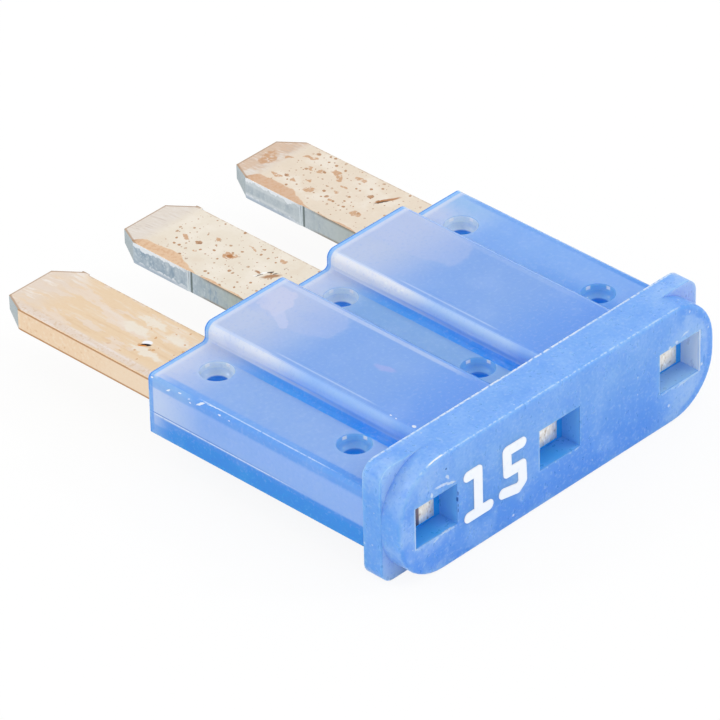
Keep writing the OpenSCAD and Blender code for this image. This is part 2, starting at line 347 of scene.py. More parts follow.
def ridge_side_colours(tree, at, colour):
    """The ridges' sides: whitish near the open end as painted light coming through, and bluer near the head,
    with a painted highlight line at the foot.
    """
    y, h, ridge_x = at["y"], at["h"], at["ridge_x"]
    wall = (at["ax"], 0.25, 0.7)
    zone = (h, WEB_TOP + 0.04, WEB_TOP + 0.12)
    near = mask(tree, (ridge_x, -1.4, -1.6), zone, wall)
    far = mask(tree, (ridge_x, 1.4, 1.6), zone, wall)
    # Painted highlight along the rounded foot of each ridge's near side
    foot = mask(tree, (ridge_x, -1.4, -1.6), (h, WEB_TOP + 0.06, WEB_TOP + 0.1),
                (h, WEB_TOP + 0.2, WEB_TOP + 0.15))
    return layered(
        tree, colour,
        (near, "#A4C8FF"),
        (mask(tree, (near, 0, 1), (at["x"], -0.1, 0.1)), "#B8D4FF"),
        # Painted light: whitish near the open end, where light comes through the thin plastic
        (mask(tree, (near, 0, 1), (y, -3.0, -0.6)), "#E2E8F8"),
        (mask(tree, (near, 0, 1), (y, -3.0, -0.6), (at["x"], -0.1, 0.1)), "#F0F2FB"),
        (mask(tree, (near, 0, 1), (h, 1.37, 1.25), (y, 0.6, -2.2)), "#62A0F2", 0.8),
        (mask(tree, (near, 0, 1), (y, -5.8, -6.8)), "#7BAEF4", 0.7),
        (mask(tree, (foot, 0, 1), (y, -5.0, -1.0)), "#E0E6F4", 0.6),
        (mask(tree, (foot, 0, 1)), "#A9C3F0", 0.2),
        (far, "#7FAEF0"),
    )


def outer_side_colours(tree, at, colour):
    """The body's long sides: a blue band at the top, lavender, and deep blue below the parting line, with
    painted light, highlights and shade.
    """
    y, z, h = at["y"], at["z"], at["h"]
    across, frost = at["across"], at["frost"]
    outer = mask(tree, (across, BODY_SIDE_X - 0.3, BODY_SIDE_X - 0.12))
    side = mask(tree, (outer, 0, 1), (at["ax"], 0.2, 0.6))
    edge = mask(tree, (across, BODY_SIDE_X - 0.13, BODY_SIDE_X - 0.1), (h, WEB_TOP - 0.46, WEB_TOP - 0.32))
    above = mask(tree, (h, WEB_TOP - 0.04, WEB_TOP - 0.02), (across, BODY_SIDE_X - 0.42, BODY_SIDE_X - 0.26))
    # Painted highlight: a thin pale line along the top rounding
    line = mask(tree, (h, WEB_TOP - 0.1, WEB_TOP - 0.07), (across, BODY_SIDE_X - 0.14, BODY_SIDE_X - 0.125),
                (across, BODY_SIDE_X - 0.09, BODY_SIDE_X - 0.105), (y, -0.3, -0.7), (y, -7.0, -5.0))
    return layered(
        tree, colour,
        (side, "#95BAF6"),
        # Painted light: paler towards the open end, where light comes through the thin plastic
        (mask(tree, (side, 0, 1), (y, -0.9, 1.5)), "#C4D6F6"),
        (edge, "#69A4EE", 0.85),
        (mask(tree, (edge, 0, 1), (y, -0.6, 0.4)), "#97BEEE", 0.8),
        (mask(tree, (above, 0, 1), (y, 1.6, 0.4)), "#78ABEE", 0.85),
        (mask(tree, (above, 0, 1), (y, -3.5, -6.5)), "#5799E9", 0.8),
        (mask(tree, (line, 0, 1), (frost, 0.25, 0.5)), "#CFE2FF", 0.7),
        (mask(tree, (side, 0, 1), (z, 1.82, 1.72), (y, 2.0, 0.6)), "#4E98EC"),
        (mask(tree, (side, 0, 1), (z, 1.7, 1.35), (y, 1.9, -0.8)), "#0A94E8", 0.95),
        # The parting line's groove, painted: a dark line of painted shade over a pale line of painted
        # highlight
        (mask(tree, (side, 0, 1), (z, 1.83, 1.84), (z, 1.88, 1.87), (y, -6.0, 1.0)), "#5D86D4", 0.75),
        (mask(tree, (side, 0, 1), (z, 1.783, 1.793), (z, 1.828, 1.818), (y, -5.2, -3.0), (frost, 0.2, 0.55)),
         "#DCEAFF", 0.9),
        (mask(tree, (side, 0, 1), (y, OPEN_END_Y - 0.24, OPEN_END_Y - 0.18)), "#6FA8F0", 0.85),
    )


def rim_colours(tree, at, colour):
    """Painted light on the rounded rim of the open end, which guides light: a bright line inside a deeper
    one, and a paler band before them.
    """
    y = at["y"]
    outside = (at["h"], SLOT_TOP + 0.05, SLOT_TOP + 0.1)
    open_end = (at["ny"], 0.98, 0.9)
    upper = (at["across"], BODY_SIDE_X - 0.04, BODY_SIDE_X - 0.12)
    return layered(
        tree, colour,
        (mask(tree, (y, OPEN_END_Y - 0.42, OPEN_END_Y - 0.26), open_end, outside, upper), "#DCE4F5", 0.6),
        (mask(tree, (y, OPEN_END_Y - 0.22, OPEN_END_Y - 0.17), open_end, outside, upper), "#94C2FC"),
        (mask(tree, (y, OPEN_END_Y - 0.1, OPEN_END_Y - 0.05), open_end, outside), "#5592EA"),
    )


def dimple_colours(tree, at, colour):
    """The stake dimples: walls painted paler than the face around them, most near the open end, as light; a
    floor painted deep blue as shade; and painted highlights on the rims.
    """
    y, h = at["y"], at["h"]
    hole_x = add(tree, "Math", {0: at["x"], 1: DIMPLE_PITCH / 2, 2: -DIMPLE_PITCH / 2}, operation="WRAP")
    row = add(tree, "Math", {0: y, 1: DIMPLE_Y}, operation="SUBTRACT")
    row = add(tree, "Math", {0: row, 1: DIMPLE_ROW_PITCH / 2, 2: -DIMPLE_ROW_PITCH / 2}, operation="WRAP")
    centre = add(tree, "CombineXYZ", {0: hole_x, 1: row})
    reach = add(tree, "VectorMath", {0: centre}, out="Value", operation="LENGTH")
    # Painted highlights on each dimple's rim
    glints = mask(tree, (spots(tree, centre, 0.35, DIMPLE_GLINTS), 0, 1),
                  (h, WEB_TOP - 0.19, WEB_TOP - 0.15), (h, WEB_TOP - 0.03, WEB_TOP - 0.06))
    outside = (h, SLOT_TOP + 0.02, SLOT_TOP + 0.06)
    hole = mask(tree, (reach, DIMPLE_R + 0.06, DIMPLE_R + 0.01), (h, WEB_TOP - 0.01, WEB_TOP - 0.06), outside)
    # Painted shade: the deep floor of each dimple
    floor = mask(tree, (reach, 0.41, 0.34), (h, 0.76, 0.66), outside)
    steep = (at["az"], 0.5, 0.2)
    return layered(
        tree, colour,
        (hole, "#8AC4FF"),
        (mask(tree, (hole, 0, 1), steep), "#9AD0FF"),
        (mask(tree, (hole, 0, 1), (y, -3.4, -2.0)), "#CFE4FF"),
        (mask(tree, (hole, 0, 1), (y, -3.4, -2.0), steep), "#E4F1FF"),
        (floor, "#1480E2"),
        (glints, "#FFFFFF"),
    )


def head_colours(tree, at, colour):
    """The head: even blue, and paler where its ends are scuffed, with painted light on the flange's front
    face beside the pad.
    """
    x, y, z = at["x"], at["y"], at["z"]
    head = at["head"]
    cloud = mottle(tree, at["place"], 1.1, detail=3.0)
    rubbed = mask(tree, (head, 0, 1), (at["across"], 4.6, 6.0), (cloud, 0.35, 0.6))
    pad = mask(tree, (y, PAD_BACK_Y, PAD_BACK_Y - 0.05))
    low = mask(tree, (pad, 0, 1), (at["ny"], -0.3, -0.8), (z, 3.6, 0.2), (x, 6.0, 3.8))
    # Painted light: the flange's front face beside the pad, paler, and near white to the right where the pad
    # shades it
    flange_front = mask(tree, (at["ny"], -0.5, -0.8), (y, PAD_BACK_Y - 0.1, PAD_BACK_Y - 0.03),
                        (y, PAD_BACK_Y + 0.1, PAD_BACK_Y + 0.03))
    flange_end = mask(tree, (head, 0, 1), (x, -7.1, -7.18))
    bend = add(tree, "CombineXYZ", {0: add(tree, "Math", {0: x, 1: PAD_BEND_X}, operation="SUBTRACT"),
                                    1: add(tree, "Math", {0: at["h"], 1: 0.2}, operation="SUBTRACT")})
    bend = add(tree, "VectorMath", {0: bend, 1: (0, 0, 0)}, operation="MAXIMUM")
    bend = add(tree, "VectorMath", {0: bend}, out="Value", operation="LENGTH")
    right_end = mask(tree, (bend, 1.5, 1.66), (x, PAD_BEND_X, PAD_BEND_X + 0.5), (pad, 0, 1))
    return layered(
        tree, colour,
        (head, "#80B2F5"),
        (low, "#5E9BF1"),
        (mask(tree, (head, 0, 1), (cloud, 0.48, 0.68)), "#94C1FB", 0.5),
        (mask(tree, (head, 0, 1), (cloud, 0.44, 0.3)), "#669FEF", 0.35),
        (rubbed, "#A6CAFB", 0.6),
        (flange_front, "#B4D4FF", 0.85),
        (mask(tree, (flange_front, 0, 1), (x, 5.4, 6.2)), "#F2F7FF", 0.95),
        (flange_end, "#74AEF6", 0.85),
        (mask(tree, (flange_end, 0, 1), (z, 3.0, 3.9)), "#98C2FC", 0.8),
        (right_end, "#5E9DF0", 0.6),
    )


def head_wear_and_highlights(tree, at, colour):
    """The head's worn skin: a fine grain with pale and dark specks, scrapes and scratches, and painted
    highlights along its top edges.
    """
    x, y, z = at["x"], at["y"], at["z"]
    head = at["head"]
    grain = mottle(tree, at["place"], 0.11, detail=4.0)
    pale_specks = specks(tree, at["place"], 0.3, 0.1, 0.25, "3D")
    dark_specks = specks(tree, at["place"], 0.9, 0.2, 0.07, "3D")
    front_edge = mask(tree, (y, PAD_FRONT_Y + 0.1, PAD_FRONT_Y + 0.06), (at["ny"], -0.2, -0.3),
                      (at["ny"], -0.7, -0.6))
    back_edge = mask(tree, (y, FLANGE_BACK_Y - 0.1, FLANGE_BACK_Y - 0.05), (at["h"], 2.03, 2.07))
    upper = (z, 3.9, 4.0)
    skin = (y, PAD_FRONT_Y + 0.14, PAD_FRONT_Y + 0.02)
    front = add(tree, "CombineXYZ", {0: x, 1: add(tree, "Math", {0: z, 1: MID_Z}, operation="SUBTRACT")})
    scrapes = spots(tree, wavy(tree, front, 0.15, 0.03), 0.4, PAD_SCRAPES)
    scratches = spots(tree, wavy(tree, front, 0.1, 0.012), 0.3, PAD_SCRATCHES)
    return layered(
        tree, colour,
        (mask(tree, (head, 0, 1), (grain, 0.52, 0.7)), "#A9CBFC", 0.4),
        (mask(tree, (head, 0, 1), (grain, 0.46, 0.3)), "#6199EC", 0.35),
        (mask(tree, (head, 0, 1), (pale_specks, 0, 1)), "#C3DBFC", 0.7),
        (mask(tree, (head, 0, 1), (dark_specks, 0, 1)), "#2B5FA8", 0.45),
        # Painted highlights: broken pale lines along the pad's front top edge
        (mask(tree, (front_edge, 0, 1), upper, (grain, 0.4, 0.58)), "#C6DDFE", 0.75),
        (mask(tree, (front_edge, 0, 1), upper, (x, -5.85, -5.75), (x, -5.15, -5.25)), "#F8FAFF"),
        (mask(tree, (front_edge, 0, 1), (x, 5.3, 5.7)), "#5F9BEE", 0.7),
        # Painted highlights: pale lines along the flange's back top edge
        (mask(tree, (back_edge, 0, 1), (grain, 0.35, 0.55)), "#CFE0FD", 0.85),
        (mask(tree, (back_edge, 0, 1), (x, -4.6, -3.2), (x, 3.0, 1.8), (grain, 0.4, 0.5)), "#E9F1FE", 0.6),
        (mask(tree, (scrapes, 0, 1), skin), "#DCE9FE", 0.75),
        (mask(tree, (scratches, 0, 1), skin), "#1F4F9C", 0.85),
    )


def window_colours(tree, at, colour):
    """The three test windows in the pad: mid-blue pockets painted lighter as light through the plastic, the
    right one paler, with pale lines at their mouths.
    """
    x, y, z, h = at["x"], at["y"], at["z"], at["h"]
    window_x = add(tree, "Math", {0: x, 1: DIMPLE_PITCH / 2, 2: -DIMPLE_PITCH / 2}, operation="WRAP")
    beside = add(tree, "Math", {0: window_x}, operation="ABSOLUTE")
    pocket = mask(tree, (y, PAD_FRONT_Y + 0.03, PAD_FRONT_Y + 0.08), (y, -8.1, -8.2),
                  (beside, 1.02, 0.97), (h, 0.82, 0.78))
    pale = mask(tree, (pocket, 0, 1), (x, 3.5, 4.0))
    back = mask(tree, (pocket, 0, 1), (at["ny"], -0.5, -0.8))
    rim = (y, PAD_FRONT_Y + 0.07, PAD_FRONT_Y + 0.03)
    upright = mask(tree, rim, (beside, 1.0, 0.97), (beside, 0.89, 0.91), (h, 0.82, 0.74))
    left_x = (window_x, -0.8, -0.9)
    sill = mask(tree, rim, (beside, 0.95, 0.9), (z, MID_Z - 0.84, MID_Z - 0.81),
                (z, MID_Z - 0.74, MID_Z - 0.77))
    chips = mottle(tree, at["place"], 0.16, detail=3.0)
    floor = (at["nz"], 0.5, 0.8)
    return layered(
        tree, colour,
        # Painted light: the pockets are lighter than their shade leaves them, for light that comes through
        # the plastic, and the right pocket's right wall near white
        (pocket, "#86C4FF"),
        (mask(tree, (pocket, 0, 1), floor), "#66BAFF"),
        (mask(tree, (pocket, 0, 1), floor, (window_x, 0.0, 0.8)), "#8CC6FF", 0.7),
        (pale, "#ACD4FF"),
        (mask(tree, (pale, 0, 1), (at["nx"], -0.5, -0.8)), "#E4EEFF"),
        (back, "#46AAFF", 0.95),
        (mask(tree, (upright, 0, 1), left_x, (x, -4.6, -4.8)), "#C4DAFC", 0.6),
        (mask(tree, (upright, 0, 1), left_x, (x, -4.6, -4.4), (x, 3.8, 3.5)), "#A9CBF8", 0.35),
        (mask(tree, (upright, 0, 1), (x, 5.9, 6.2)), "#E6EEFD", 0.6),
        (mask(tree, (sill, 0, 1), (chips, 0.45, 0.55)), "#B7D4FC", 0.7),
    )


def translucent_nylon():
    """Moulded translucent nylon: milky blue, glossy, paler at the thin open end as painted light coming
    through, and scuffed on the head. Painted highlights and shade lie in its colour too.
    """
    material, tree, shader, at = start_finish("moulded_translucent_nylon")
    side = add(tree, "Math", {0: at["x"]}, operation="SIGN")
    centre = add(tree, "Math", {0: side, 1: RIDGE_CENTRE_X}, operation="MULTIPLY")
    at["across"] = add(tree, "Math", {0: at["x"]}, operation="ABSOLUTE")
    at["ridge_x"] = add(tree, "Math", {0: at["x"], 1: centre}, operation="SUBTRACT")
    at["head"] = mask(tree, (at["y"], FLANGE_BACK_Y + 0.03, FLANGE_BACK_Y - 0.03))
    at["frost"] = mottle(tree, at["place"], 0.12, detail=3.0)

    haze = mottle(tree, at["place"], 1.8, detail=3.0)
    slant = add(tree, "Math", {0: at["x"], 1: at["z"]}, operation="ADD")
    slantwise = add(tree, "CombineXYZ", {0: slant, 1: at["y"]})
    flecks = spots(tree, wavy(tree, slantwise, 0.12, 0.02), 0.3, FLECKS)

    colour = web_colours(tree, at, "#8FB3EB")
    colour = ridge_colours(tree, at, colour)
    colour = ridge_side_colours(tree, at, colour)
    colour = outer_side_colours(tree, at, colour)
    colour = rim_colours(tree, at, colour)
    colour = dimple_colours(tree, at, colour)
    colour = layered(
        tree, colour,
        (mask(tree, (haze, 0.5, 0.75)), "#B4CCF6", 0.14),
        (mask(tree, (haze, 0.46, 0.25)), "#6C9FEA", 0.14),
        (mask(tree, (at["frost"], 0.52, 0.7)), "#B9D1F8", 0.14),
        (mask(tree, (at["frost"], 0.46, 0.3)), "#6C9FEA", 0.12),
        (mask(tree, (at["z"], 2.4, 2.6), (flecks, 0, 1)), "#F4F8FF", 0.85),
    )
    colour = head_colours(tree, at, colour)
    colour = head_wear_and_highlights(tree, at, colour)
    colour = window_colours(tree, at, colour)

    # The colours above are as the eye sees them, so what the glossy skin reflects is taken off them
    under_skin = add(tree, "VectorMath", {0: colour, 1: [1 / (1 - SKIN)] * 3, 2: [-SKIN / (1 - SKIN)] * 3},
                     operation="MULTIPLY_ADD")
    under_skin = add(tree, "VectorMath", {0: under_skin, 1: (0.004, 0.004, 0.004)}, operation="MAXIMUM")
    tree.links.new(under_skin, shader.inputs["Base Color"])
    scuff = mottle(tree, at["place"], 0.2, stretch=(1, 1, 2), detail=4.0)
    worn = add(tree, "MapRange", {"Value": scuff, "From Min": 0.3, "From Max": 0.7,
                                  "To Min": 0.25, "To Max": 0.45})
    tree.links.new(add(tree, "Mix", {0: at["head"], 2: 0.12, 3: worn}), shader.inputs["Roughness"])
    depth = add(tree, "Mix", {0: at["head"], 2: 0.03, 3: 0.3})
    bump = add(tree, "Bump", {"Height": scuff, "Strength": depth, "Distance": 0.03 * MM}, out="Normal")
    tree.links.new(bump, shader.inputs["Normal"])
    shader.inputs["IOR"].default_value = 1.46
    shader.inputs["Transmission Weight"].default_value = 0.1
    shader.inputs["Subsurface Weight"].default_value = 0.5
    shader.inputs["Subsurface Radius"].default_value = (0.8, 0.9, 1.1)
    shader.inputs["Subsurface Scale"].default_value = 0.45 * MM
    return material


def worn_plating(tree, at):
    """The middle and right blades: cream plating, worn to the copper in specks and along the near edge."""
    y = at["y"]
    rough_place = wavy(tree, at["place"], 0.25, 0.035)
    broad = mottle(tree, at["place"], 0.9, detail=4.0)
    fine = mottle(tree, at["place"], 0.12, detail=3.0)
    brushed = mottle(tree, at["place"], 0.07, stretch=(1, 14, 1), detail=3.0)
    right = mask(tree, (at["x"], 2.4, 2.6))
    zone = (y, 8.1, 7.4)
    dots = specks(tree, rough_place, 0.19, 0.07, 0.45)
    small = specks(tree, rough_place, 0.27, 0.14, 0.6)
    large = specks(tree, rough_place, 0.8, 0.26, 0.6)
    colour = layered(
        tree, "#ECE3D4",
        (right, "#EADCCA", 0.85),
        (mask(tree, (broad, 0.48, 0.66)), "#F4EDE2", 0.55),
        (mask(tree, (broad, 0.45, 0.3)), "#E7DAC8", 0.6),
        (mask(tree, zone, (dots, 0, 1)), "#B5835A", 0.8),
        (mask(tree, zone, (small, 0, 1), (broad, 0.36, 0.5)), "#B98A60", 0.9),
        (mask(tree, zone, (large, 0, 1), (broad, 0.42, 0.52)), "#BE9069", 0.85),
        (mask(tree, zone, (large, 0, 1), (fine, 0.5, 0.6)), "#94653F", 0.6),
    )
    swell = mask(tree, (y, 5.2, 6.7), (y, 8.35, 7.9))
    width = add(tree, "Math", {0: swell, 1: 0.42, 2: 0.05}, operation="MULTIPLY_ADD")
    wave = add(tree, "Math", {0: broad, 1: 0.5, 2: -0.25}, operation="MULTIPLY_ADD")
    width = add(tree, "Math", {0: width, 1: wave}, operation="ADD")
    inside = add(tree, "Math", {0: width, 1: at["from_edge"]}, operation="SUBTRACT")
    tip = mask(tree, (y, COIN_Y - 0.35, COIN_Y + 0.25))
    patches = spots(tree, wavy(tree, at["place"], 0.35, 0.11), 0.12, BARE_PATCHES)
    return layered(
        tree, colour,
        (tip, "#E3DAD1", 0.85),
        (mask(tree, (tip, 0, 1), (right, 0, 1), (broad, 0.4, 0.55)), "#D8B697", 0.7),
        (mask(tree, (tip, 0, 1), (brushed, 0.5, 0.7)), "#EBE5E0", 0.6),
        (mask(tree, (tip, 0, 1), (brushed, 0.46, 0.3)), "#CBBDB4", 0.5),
        (mask(tree, (inside, -0.03, 0.03)), "#E6C6A6"),
        (mask(tree, (inside, -0.03, 0.03), (right, 0, 1)), "#DCBB9F"),
        (mask(tree, (inside, -0.03, 0.03), (fine, 0.48, 0.62)), "#D8AD88", 0.5),
        (mask(tree, (inside, -0.03, 0.03), (y, 7.9, 8.3)), "#C79F80", 0.8),
        (mask(tree, (patches, 0, 1), (fine, 0.3, 0.5)), "#D0A47E", 0.85),
        (spots(tree, rough_place, 0.3, DEEP_PATCHES), "#B77B48", 0.9),
    )


def bare_copper(tree, at):
    """The left blade lost most of its plating: peach copper with whitish streaks left along it."""
    y = at["y"]
    streak = mottle(tree, at["place"], 0.2, stretch=(1, 9, 1), detail=4.0, rough=0.6)
    patch = mottle(tree, wavy(tree, at["place"], 0.3, 0.05), 0.4, stretch=(1, 4, 1), detail=5.0, rough=0.6)
    fine = mottle(tree, at["place"], 0.12, detail=3.0)
    band = mask(tree, (at["from_edge"], 0.02, 0.1), (at["from_edge"], 0.5, 0.25))
    cream = spots(tree, wavy(tree, at["place"], 0.3, 0.16), 0.3, PLATING_LEFT)
    dashes = specks(tree, wavy(tree, at["place"], 0.2, 0.05), 0.3, 0.14, 0.45)
    return layered(
        tree, "#EBD3B4",
        (mask(tree, (streak, 0.5, 0.68)), "#EEE0D0", 0.8),
        (mask(tree, (streak, 0.44, 0.3)), "#E2C4A0", 0.5),
        (mask(tree, (patch, 0.52, 0.58)), "#ECE0D8", 0.55),
        (cream, "#EFE7DA", 0.85),
        (mask(tree, (dashes, 0, 1), (y, 5.2, 4.0)), "#D3A271", 0.8),
        (mask(tree, (y, COIN_Y - 0.9, COIN_Y + 0.3), (patch, 0.3, 0.5)), "#E7D9CC", 0.8),
        (mask(tree, (y, COIN_Y - 0.7, COIN_Y + 0.2), (streak, 0.5, 0.62)), "#F3EDE8", 0.7),
        (band, "#E6D8CD", 0.85),
        (mask(tree, (band, 0, 1), (streak, 0.48, 0.6)), "#F0E8E6", 0.6),
        (mask(tree, (band, 0, 1), (fine, 0.5, 0.35)), "#DBC0A2", 0.6),
    )


def sheared_silver(tree, at):
    """The sheared sides of the plated blades: bluish silver, frosty at the tip and greener near the body."""
    y, h = at["y"], at["h"]
    drawn = mottle(tree, at["place"], 0.3, stretch=(1, 1, 2.5), detail=5.0, rough=0.6)
    fine = mottle(tree, at["place"], 0.1, detail=3.0)
    torn = add(tree, "Math", {0: drawn, 1: 0.5}, operation="MULTIPLY")
    torn = add(tree, "Math", {0: h, 1: torn}, operation="SUBTRACT")
    return layered(
        tree, "#ACBBC7",
        (mask(tree, (drawn, 0.45, 0.62)), "#C3CFD7", 0.8),
        (mask(tree, (drawn, 0.48, 0.34)), "#8FA4B6", 0.8),
        (mask(tree, (fine, 0.55, 0.7)), "#DCE5EA", 0.5),
        (mask(tree, (fine, 0.45, 0.3)), "#94A8B8", 0.4),
        (mask(tree, (y, 5.8, 4.4), (drawn, 0.3, 0.5)), "#B7C2C2", 0.7),
        (mask(tree, (y, 4.6, 3.0)), "#AAB4A8", 0.7),
        (mask(tree, (at["x"], 2.4, 2.6)), "#C9CFCF", 0.45),
        (mask(tree, (at["x"], 2.4, 2.6), (y, 5.5, 6.5), (h, 0.1, 0.2)), "#E2E7E9", 0.5),
        (mask(tree, (h, BLADE_TOP - 0.12, BLADE_TOP - 0.02), (y, 5.4, 4.6)), "#8C7A62", 0.7),
        (mask(tree, (torn, 0.0, 0.05), (y, 5.3, 6.2)), "#F0F4F8", 0.9),
        (mask(tree, (h, 0.2, 0.34), (at["z"], 2.0, 1.9), (y, 5.5, 6.5)), "#93A6B9", 0.7),
        (mask(tree, (y, 5.46, 5.5), (y, 5.58, 5.54)), "#5E6B68", 0.85),
        (mask(tree, (y, 5.58, 5.62), (y, 5.72, 5.68)), "#DEE7EB", 0.8),
        (mask(tree, (at["ny"], 0.25, 0.4)), "#A9B7BC", 0.9),
    )


def peach_sides(tree, at, fine):
    """The sheared sides of the left blade: peach copper, darker along the upper edge."""
    upper_edge = mask(tree, (at["h"], BLADE_TOP - 0.09, BLADE_TOP - 0.05), (at["az"], 0.75, 0.6))
    return layered(
        tree, "#F2D8B9",
        (mask(tree, (fine, 0.5, 0.7)), "#F7E6D0", 0.7),
        (mask(tree, (fine, 0.42, 0.28)), "#E3BD94", 0.7),
        (mask(tree, (at["y"], 5.5, 3.5)), "#F3E0C8", 0.6),
        (upper_edge, "#B98552", 0.85),
        (mask(tree, (at["ny"], 0.25, 0.4)), "#A5B8C0", 0.9),
    )


def tab_ends(tree, at):
    """The ends of the test tabs, in the windows: bright plating, torn where the shear cut it, and a painted
    shadow at the left tab's left edge.
    """
    cut = mottle(tree, at["place"], 0.09, stretch=(1, 1, 2), detail=3.0)
    return layered(
        tree, "#EBE7E0",
        (mask(tree, (cut, 0.5, 0.66)), "#FFFFFF", 0.8),
        (mask(tree, (cut, 0.46, 0.3)), "#B5A596", 0.85),
        # Painted shadow along the left tab's left edge, where its shaded side shows
        (mask(tree, (at["x"], -5.8, -5.84)), "#5A5068", 0.9),
    )


def tip_outline(tree, at):
    """Narrow bands along the ends and cut-off corners of the blades' tips, where the plating is rubbed."""
    end = mask(tree, (at["y"], TIP_Y - 0.09, TIP_Y - 0.04))
    aside = add(tree, "Math", {0: at["blade_x"]}, operation="ABSOLUTE")
    seat = add(tree, "CombineXYZ", {0: aside, 1: at["y"]})
    reach = add(tree, "VectorMath", {0: seat, 1: CHAMFER_FACING}, out="Value", operation="DOT_PRODUCT")
    corner = mask(tree, (reach, CHAMFER_LEVEL - 0.09, CHAMFER_LEVEL - 0.04))
    return (end, "#B3957A", 0.7), (corner, "#B3957A", 0.8)


def handling_marks(tree, at):
    """Scratches and a gouge from the terminals that the blades were pushed into. The gouge's white and dark
    marks are its painted highlight and painted shadow.
    """
    place = at["place"]
    nicked = wavy(tree, place, 0.1, 0.03)
    return (
        (spots(tree, nicked, 0.4, TORN_COPPER), "#B08058", 0.9),
        (spots(tree, nicked, 0.3, GROOVES), "#4A3C32", 0.9),
        (spots(tree, nicked, 0.3, BURRS), "#FDFDFC", 0.9),
        # The gouge: a painted highlight, a painted shadow in its pit, and bare copper
        (spots(tree, place, 0.2, GOUGE_HIGHLIGHT), "#F6F8FD"),
        (spots(tree, place, 0.2, GOUGE_PIT_SHADOW), "#2A1714"),
        (spots(tree, place, 0.3, GOUGE_COPPER), "#D98A3A"),
    )


def plated_copper():
    """Stamped copper alloy under thin cream plating: softly shining, silvery where cut, peach where bare."""
    material, tree, shader, at = start_finish("worn_plating_on_copper")
    x, y = at["x"], at["y"]
    at["blade_x"] = add(tree, "Math", {0: x, 1: BLADE_PITCH / 2, 2: -BLADE_PITCH / 2}, operation="WRAP")
    at["from_edge"] = add(tree, "Math", {0: at["blade_x"], 1: BLADE_HALF_W}, operation="ADD")
    left = (x, -BLADE_PITCH / 2 + 0.02, -BLADE_PITCH / 2 - 0.02)
    steep = (at["az"], 0.75, 0.6)
    fine = mottle(tree, at["place"], 0.12, detail=3.0)
    far_edge = mask(tree, (at["blade_x"], BLADE_HALF_W - 0.08, BLADE_HALF_W - 0.03), (fine, 0.4, 0.55))
    colour = layered(
        tree, worn_plating(tree, at),
        (mask(tree, left), bare_copper(tree, at)),
        (far_edge, "#B08E6C", 0.35),
        *tip_outline(tree, at),
        (mask(tree, steep), sheared_silver(tree, at)),
        (mask(tree, steep, left), peach_sides(tree, at, fine)),
        (mask(tree, (y, -7.9, -8.1)), tab_ends(tree, at)),
        *handling_marks(tree, at),
    )
    tree.links.new(colour, shader.inputs["Base Color"])
    rough = add(tree, "MapRange", {"Value": fine, "From Min": 0.3, "From Max": 0.7,
                                   "To Min": 0.36, "To Max": 0.5})
    tree.links.new(rough, shader.inputs["Roughness"])
    rolled = mottle(tree, at["place"], 0.06, stretch=(1, 10, 1), detail=2.0)
    relief = add(tree, "Math", {0: rolled, 1: fine}, operation="ADD")
    bump = add(tree, "Bump", {"Height": relief, "Strength": 0.15, "Distance": 0.02 * MM}, out="Normal")
    tree.links.new(bump, shader.inputs["Normal"])
    shader.inputs["Metallic"].default_value = 1.0
    return material


def white_ink():
    """White pad-printing ink: matt and dense, with a faint mottle from the plastic's grain under it."""
    material, tree, shader, at = start_finish("white_pad_printing_ink")
    grain = mottle(tree, at["place"], 0.2)
    colour = layered(tree, "#F3F7FD", (mask(tree, (grain, 0.55, 0.75)), "#E2ECFA", 0.6))
    tree.links.new(colour, shader.inputs["Base Color"])
    bump = add(tree, "Bump", {"Height": grain, "Strength": 0.1, "Distance": 0.01 * MM}, out="Normal")
    tree.links.new(bump, shader.inputs["Normal"])
    shader.inputs["Roughness"].default_value = 0.45
    return material


def merged_copy(node):
    """Copies a CAD node's loose triangles, joins them and gives whole flat faces."""
    mesh = bmesh.new()
    mesh.from_mesh(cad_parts[node].data)
    bmesh.ops.remove_doubles(mesh, verts=mesh.verts, dist=0.0005 * MM)
    bmesh.ops.dissolve_limit(mesh, angle_limit=math.radians(0.4), verts=mesh.verts, edges=mesh.edges)
    return mesh


def sharp_edges(mesh, least):
    """The edges whose faces turn by more than that many degrees."""
    return [e for e in mesh.edges if e.calc_face_angle(0.0) > math.radians(least)]


def round_over(mesh, edges, width, segments):
    """Rounds edges off with a bevel of that width."""
    bmesh.ops.bevel(mesh, geom=edges, offset=width, offset_type="OFFSET", affect="EDGES",
                    segments=segments, profile=0.5, material=-1, clamp_overlap=True)


def piece(name, mesh, material, slot, *replaced):
    """Makes a bmesh a smooth-shaded piece that rides on the fuse."""
    for face in mesh.faces:
        face.smooth = True
    data = bpy.data.meshes.new(name)
    mesh.to_mesh(data)
    mesh.free()
    if "custom_normal" in data.attributes:
        data.attributes.remove(data.attributes["custom_normal"])
    data.materials.clear()
    data.materials.append(material)
    made = bpy.data.objects.new(name, data)
    bpy.context.scene.collection.objects.link(made)
    made.modifiers.new("even_faces", "WEIGHTED_NORMAL")
    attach(made, "root")
    if replaced:
        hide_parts(*replaced)
    return made


def on_rim(edge):
    """True for the outer outline of the body's open end, and not for the slot or the chambers in it."""
    for vert in edge.verts:
        x, y, h = abs(vert.co.x) / MM, vert.co.y / MM, abs(vert.co.z / MM - MID_Z)
        in_slot = h < 0.5 and x < 6.7
        in_chamber = 1.25 < x < 3.95 and h < 1.2
        if abs(y - OPEN_END_Y) > 0.01 or in_slot or in_chamber:
            return False
    return True


